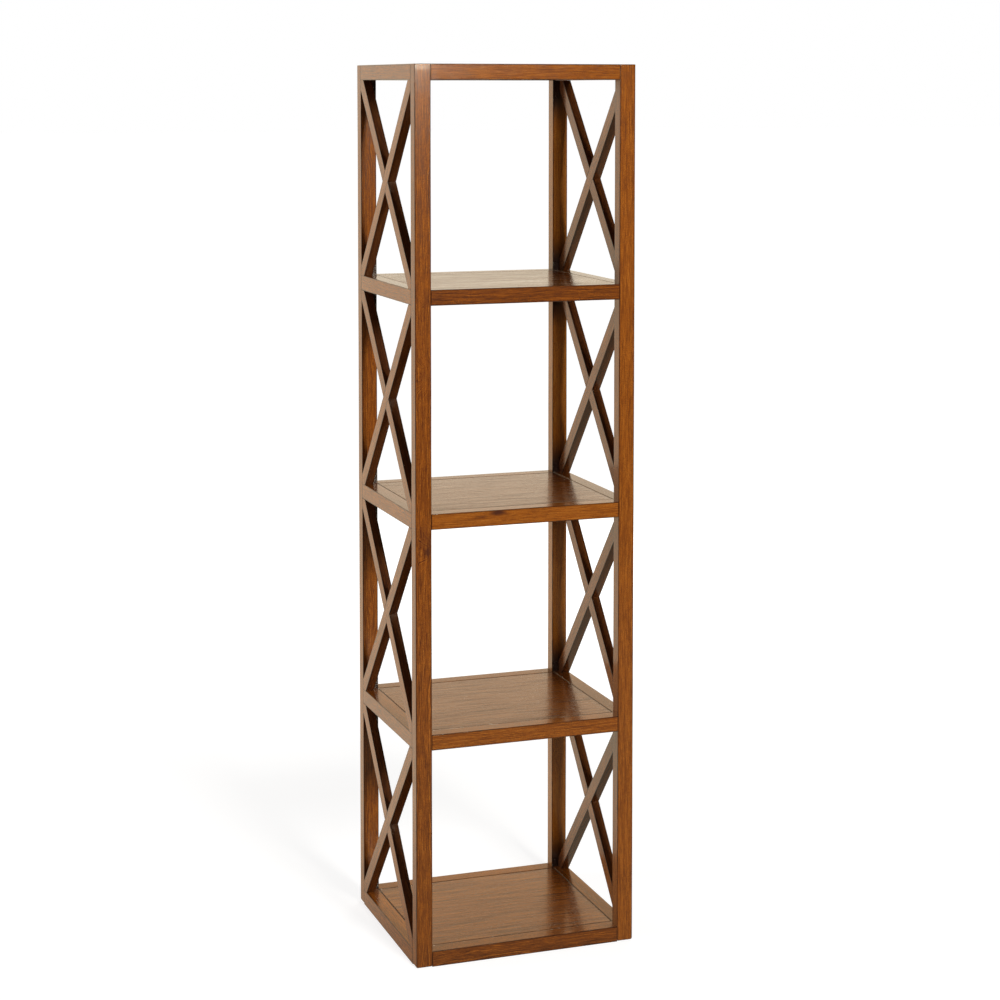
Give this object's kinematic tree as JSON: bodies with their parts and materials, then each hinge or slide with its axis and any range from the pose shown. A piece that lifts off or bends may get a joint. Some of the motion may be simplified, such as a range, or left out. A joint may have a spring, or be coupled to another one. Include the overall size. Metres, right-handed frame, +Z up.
{
  "type": "open bookshelf",
  "caption": "Tall narrow open bookshelf in stained hardwood, with square corner posts, framed shelves and crossed braces on both sides.",
  "frame": {"origin": "on the floor, under the middle of the bookshelf's footprint", "axes": "+Z up, -Y out of the open front, +X to the right when seen from the front"},
  "size_m": [0.46, 0.4, 1.78],
  "materials": {
    "frame_wood": "satin lacquer over honey-brown stain",
    "shelf_wood": "satin lacquer over honey-brown stain",
    "brace_wood": "satin lacquer over honey-brown stain"
  },
  "bodies": {
    "root": {"board_floor_1": "shelf_wood", "board_floor_2": "shelf_wood", "board_floor_3": "shelf_wood", "board_high_1": "shelf_wood", "board_high_2": "shelf_wood", "board_high_3": "shelf_wood", "board_low_1": "shelf_wood", "board_low_2": "shelf_wood", "board_low_3": "shelf_wood", "board_middle_1": "shelf_wood", "board_middle_2": "shelf_wood", "board_middle_3": "shelf_wood", "board_top_1": "shelf_wood", "board_top_2": "shelf_wood", "board_top_3": "shelf_wood", "brace_left_1_back": "brace_wood", "brace_left_1_front": "brace_wood", "brace_left_2_back": "brace_wood", "brace_left_2_front": "brace_wood", "brace_left_3_back": "brace_wood", "brace_left_3_front": "brace_wood", "brace_left_4_back": "brace_wood", "brace_left_4_front": "brace_wood", "brace_right_1_back": "brace_wood", "brace_right_1_front": "brace_wood", "brace_right_2_back": "brace_wood", "brace_right_2_front": "brace_wood", "brace_right_3_back": "brace_wood", "brace_right_3_front": "brace_wood", "brace_right_4_back": "brace_wood", "brace_right_4_front": "brace_wood", "post_back_left": "frame_wood", "post_back_right": "frame_wood", "post_front_left": "frame_wood", "post_front_right": "frame_wood", "rail_floor_back": "frame_wood", "rail_floor_front": "frame_wood", "rail_floor_left": "frame_wood", "rail_floor_right": "frame_wood", "rail_high_back": "frame_wood", "rail_high_front": "frame_wood", "rail_high_left": "frame_wood", "rail_high_right": "frame_wood", "rail_low_back": "frame_wood", "rail_low_front": "frame_wood", "rail_low_left": "frame_wood", "rail_low_right": "frame_wood", "rail_middle_back": "frame_wood", "rail_middle_front": "frame_wood", "rail_middle_left": "frame_wood", "rail_middle_right": "frame_wood", "rail_top_back": "frame_wood", "rail_top_front": "frame_wood", "rail_top_left": "frame_wood", "rail_top_right": "frame_wood"}
  },
  "joints": []
}
